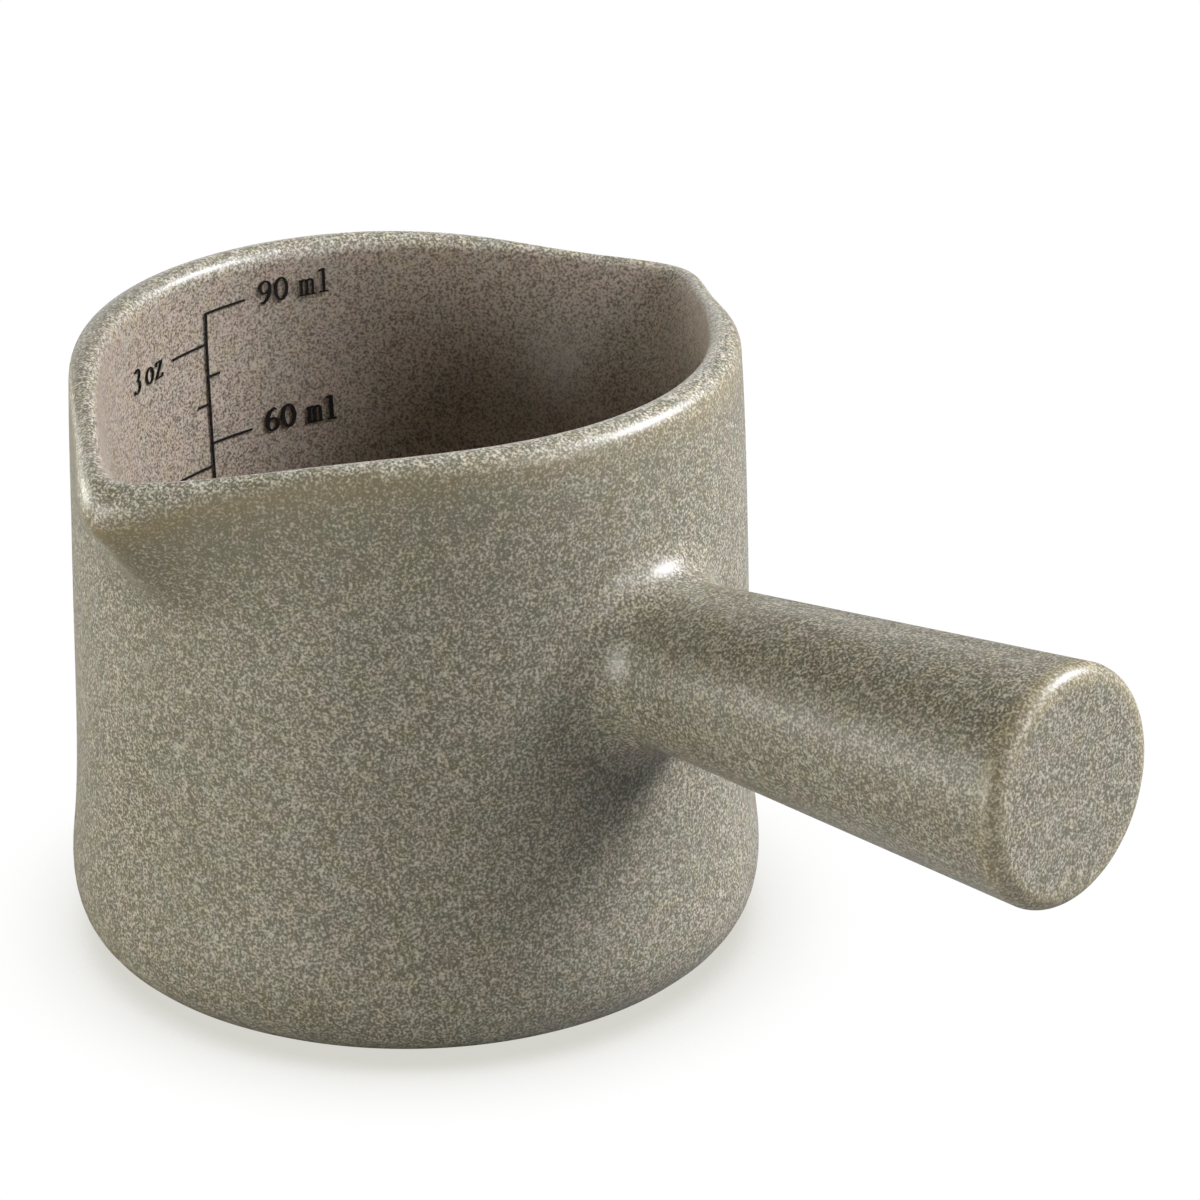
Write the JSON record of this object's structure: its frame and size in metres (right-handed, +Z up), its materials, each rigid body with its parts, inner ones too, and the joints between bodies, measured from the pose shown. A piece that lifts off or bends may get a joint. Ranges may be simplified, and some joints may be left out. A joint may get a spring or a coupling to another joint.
{
  "type": "double-spout measuring cup",
  "caption": "Small stoneware measuring cup with pouring spouts on both sides, a thick stub handle and a printed volume scale inside.",
  "frame": {"origin": "centre of the flat foot, on the table plane", "axes": "+Z up, +X along the handle away from the cup, the two spouts at +Y and -Y"},
  "size_m": [0.1067, 0.0746, 0.0568],
  "materials": {
    "stoneware_glaze": "satin reactive glaze, fine warm beige and grey-green speckle, tan where it thins over edges",
    "joint_slip": "smoothed clay slip under the same satin glaze",
    "scale_ink": "black ceramic decal ink, matt"
  },
  "bodies": {
    "root": {"cup_body": "stoneware_glaze", "handle": "stoneware_glaze", "handle_joint_slip": "joint_slip", "scale_lines": "scale_ink", "print_90ml_9": "scale_ink", "print_90ml_0": "scale_ink", "print_90ml_m": "scale_ink", "print_90ml_l": "scale_ink", "print_60ml_6": "scale_ink", "print_60ml_0": "scale_ink", "print_60ml_m": "scale_ink", "print_60ml_l": "scale_ink", "print_30ml_3": "scale_ink", "print_30ml_0": "scale_ink", "print_30ml_m": "scale_ink", "print_30ml_l": "scale_ink", "print_3oz_3": "scale_ink", "print_3oz_o": "scale_ink", "print_3oz_z": "scale_ink", "print_2oz_2": "scale_ink", "print_2oz_o": "scale_ink", "print_2oz_z": "scale_ink", "print_1oz_1": "scale_ink", "print_1oz_o": "scale_ink", "print_1oz_z": "scale_ink"}
  },
  "joints": []
}
